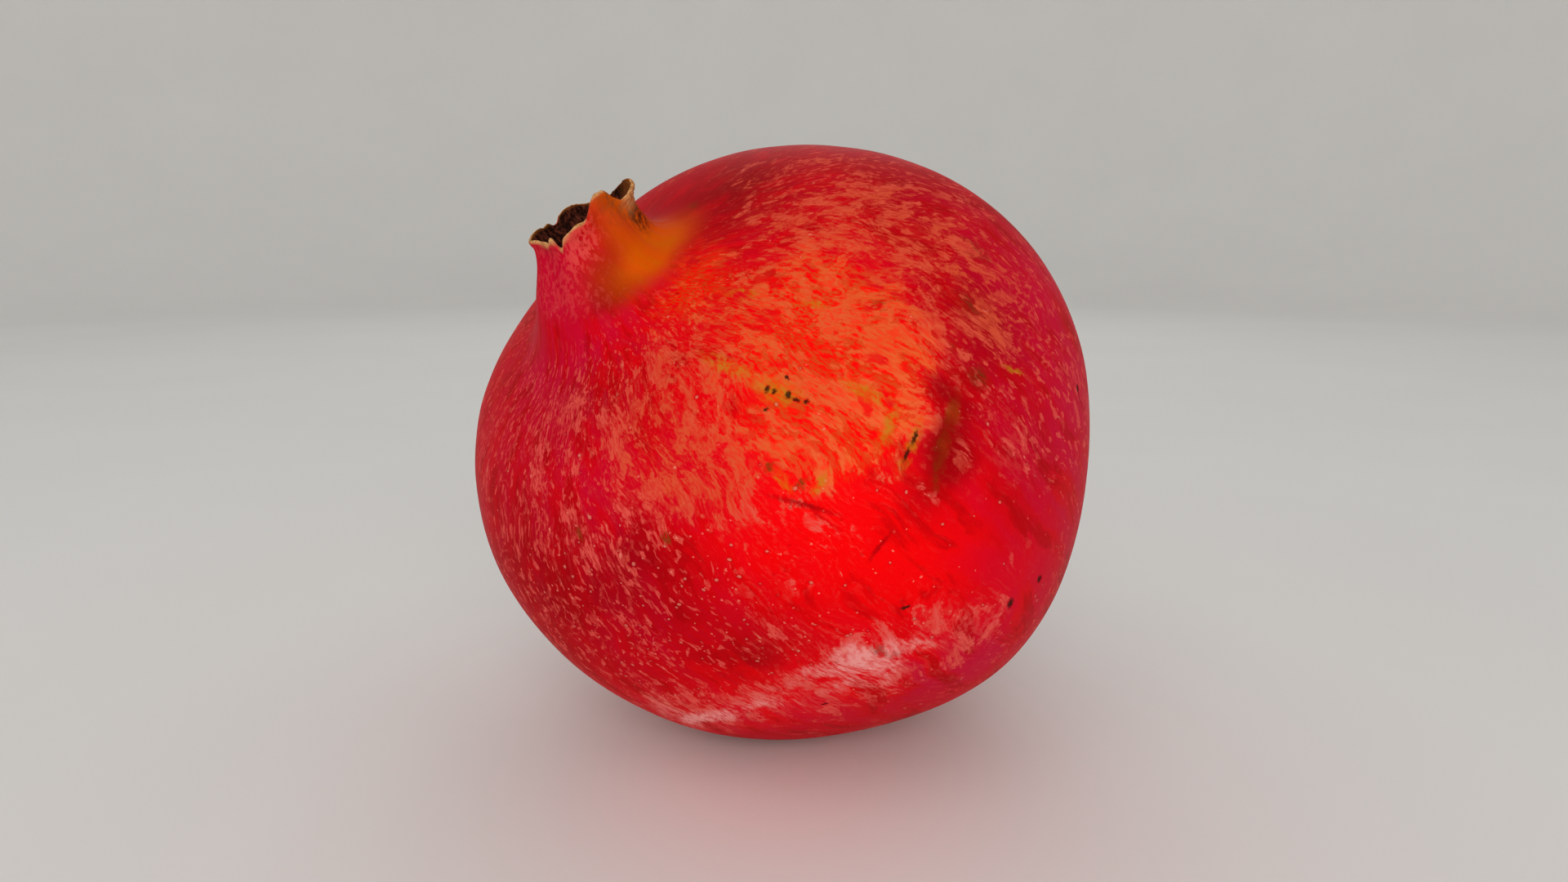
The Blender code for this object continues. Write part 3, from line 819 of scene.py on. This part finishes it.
class POMEGRANATE_OT_make_filaments(bpy.types.Operator):
    """Make the withered filaments and style low in the cup of the calyx"""

    bl_idname = "pomegranate.make_filaments"
    bl_label = "Make Filaments"

    def execute(self, context):
        settings = context.scene.pomegranate_filaments
        draw = random.Random(5)
        pattern = filament_pattern(settings)
        to_row = fruit_frame() @ calyx_frame()
        made = []
        for i in range(settings.count + 1):
            item = pattern.copy()
            item.data = pattern.data.copy()
            bpy.context.scene.collection.objects.link(item)
            style = i == settings.count
            bend = draw.uniform(-1.6, -0.5)
            curl(item.data, settings.length, 0.25 if style else bend, draw.uniform(-0.5, 0.5))
            turn = 2.0 * math.pi * (i + draw.uniform(-0.3, 0.3)) / settings.count
            out = 0.0 if style else CUP_RADIUS - draw.uniform(0.0003, 0.0009)
            up = CUP_FLOOR - 0.0002 if style else CUP_FLOOR + draw.uniform(0.0008, 0.0042)
            size = 1.5 if style else draw.uniform(0.65, 1.0)
            item.data.transform(to_row @ Matrix.Rotation(turn, 4, "Z") @ Matrix.Translation((out, 0.0, up))
                                @ Matrix.Diagonal((size, size, size, 1.0)))
            made.append(item)
        bpy.data.objects.remove(pattern, do_unlink=True)
        select_only(*made)
        bpy.ops.object.join()
        tuft = bpy.context.object
        tuft.name = tuft.data.name = "dry_filaments"
        tuft.data.materials.clear()
        tuft.data.materials.append(filament_material(settings))
        bpy.ops.object.shade_smooth()
        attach(tuft, "root")
        return {"FINISHED"}


# ---------------------------------------------------------------------------------------------------------------------
# Stage


def make_floor(settings):
    """A flat floor that curves up into a low wall all round."""
    bpy.ops.object.select_all(action="DESELECT")
    bpy.ops.mesh.primitive_circle_add(vertices=96, radius=settings.floor_radius, fill_type="NGON")
    floor = bpy.context.object
    floor.name = floor.data.name = "floor"
    bpy.ops.object.mode_set(mode="EDIT")
    bpy.ops.mesh.select_all(action="DESELECT")
    bpy.ops.mesh.select_mode(type="EDGE")
    bpy.ops.mesh.select_all(action="SELECT")
    bpy.ops.mesh.extrude_edges_move(TRANSFORM_OT_translate={"value": (0.0, 0.0, 0.0)})
    for i in range(WALL_STEPS):
        angle = math.pi / 2 * (i + 1) / WALL_STEPS
        last = math.pi / 2 * i / WALL_STEPS
        rise = WALL_BEND * (math.cos(last) - math.cos(angle))
        reach = settings.floor_radius + WALL_BEND * math.sin(angle)
        before = settings.floor_radius + WALL_BEND * math.sin(last)
        bpy.ops.mesh.extrude_edges_move(TRANSFORM_OT_translate={"value": (0.0, 0.0, rise)})
        bpy.ops.transform.resize(value=(reach / before, reach / before, 1.0))
    bpy.ops.mesh.extrude_edges_move(TRANSFORM_OT_translate={"value": (0.0, 0.0, WALL_HEIGHT)})
    bpy.ops.mesh.select_all(action="SELECT")
    bpy.ops.mesh.remove_doubles(threshold=SAME_PLACE)
    bpy.ops.mesh.normals_make_consistent(inside=False)
    bpy.ops.object.mode_set(mode="OBJECT")
    bpy.ops.object.shade_smooth()
    graph = Graph("floor")
    tone = graph.noise(graph.place(), 9.0, 3.0)
    shade = tuple(0.94 * c for c in settings.floor)
    floor.data.materials.append(graph.finish(Base_Color=graph.mix(tone, settings.floor, shade), Roughness=0.75))


def add_light(name, location, target, size, power):
    """A round soft light that faces the target."""
    bpy.ops.object.light_add(type="AREA", location=location)
    light = bpy.context.object
    light.name = name
    light.data.shape = "DISK"
    light.data.size = size
    light.data.energy = power
    light.rotation_euler = (target - Vector(location)).to_track_quat("-Z", "Y").to_euler()


class POMEGRANATE_OT_set_stage(bpy.types.Operator):
    """Set up the floor, the soft lights and the camera"""

    bl_idname = "pomegranate.set_stage"
    bl_label = "Set Stage"

    def execute(self, context):
        settings = context.scene.pomegranate_stage
        make_floor(settings)
        middle = fruit_frame().to_translation()
        for name, location, size, power in LIGHTS:
            add_light(name, location, middle, size, power)
        world = bpy.data.worlds.new("studio")
        world.use_nodes = True
        sky = world.node_tree.nodes["Background"]
        sky.inputs["Color"].default_value = (1.0, 1.0, 1.0, 1.0)
        sky.inputs["Strength"].default_value = WORLD_STRENGTH
        context.scene.world = world
        context.scene.view_settings.view_transform = "Standard"

        a, e = settings.azimuth, settings.elevation
        back = Vector((math.sin(a) * math.cos(e), -math.cos(a) * math.cos(e), math.sin(e)))
        right = Vector((math.cos(a), math.sin(a), 0.0))
        above = back.cross(right)
        aim = middle + right * AIM_RIGHT + above * AIM_ABOVE
        bpy.ops.object.camera_add(location=aim + back * settings.distance)
        camera = bpy.context.object
        camera.name = "camera"
        camera.rotation_euler = back.to_track_quat("Z", "Y").to_euler()
        camera.data.lens = settings.lens
        camera.data.sensor_width = SENSOR_WIDTH
        camera.data.clip_start = 0.01
        camera.data.clip_end = 50.0
        context.scene.camera = camera
        return {"FINISHED"}


class POMEGRANATE_PT_panel(bpy.types.Panel):
    """Lists the pieces of the pomegranate"""

    bl_idname = "POMEGRANATE_PT_panel"
    bl_label = "Pomegranate"
    bl_space_type = "VIEW_3D"
    bl_region_type = "UI"
    bl_category = "Pomegranate"

    def draw(self, context):
        for operator, group in (
            (POMEGRANATE_OT_make_rind, context.scene.pomegranate_rind),
            (None, context.scene.pomegranate_calyx),
            (POMEGRANATE_OT_make_filaments, context.scene.pomegranate_filaments),
            (POMEGRANATE_OT_set_stage, context.scene.pomegranate_stage),
        ):
            box = self.layout.box()
            if operator:
                box.operator(operator.bl_idname)
            for name in group.__annotations__:
                box.prop(group, name)


GROUPS = {
    "pomegranate_rind": RindSettings,
    "pomegranate_calyx": CalyxSettings,
    "pomegranate_filaments": FilamentSettings,
    "pomegranate_stage": StageSettings,
}
CLASSES = (*GROUPS.values(), POMEGRANATE_OT_make_rind, POMEGRANATE_OT_make_filaments, POMEGRANATE_OT_set_stage,
           POMEGRANATE_PT_panel)


def register():
    for item in CLASSES:
        bpy.utils.register_class(item)
    for name, group in GROUPS.items():
        setattr(bpy.types.Scene, name, PointerProperty(type=group))


def unregister():
    for name in GROUPS:
        delattr(bpy.types.Scene, name)
    for item in reversed(CLASSES):
        bpy.utils.unregister_class(item)


def main():
    register()
    bpy.ops.pomegranate.make_rind()
    bpy.ops.pomegranate.make_filaments()
    bpy.ops.pomegranate.set_stage()


if __name__ == "__main__":
    main()
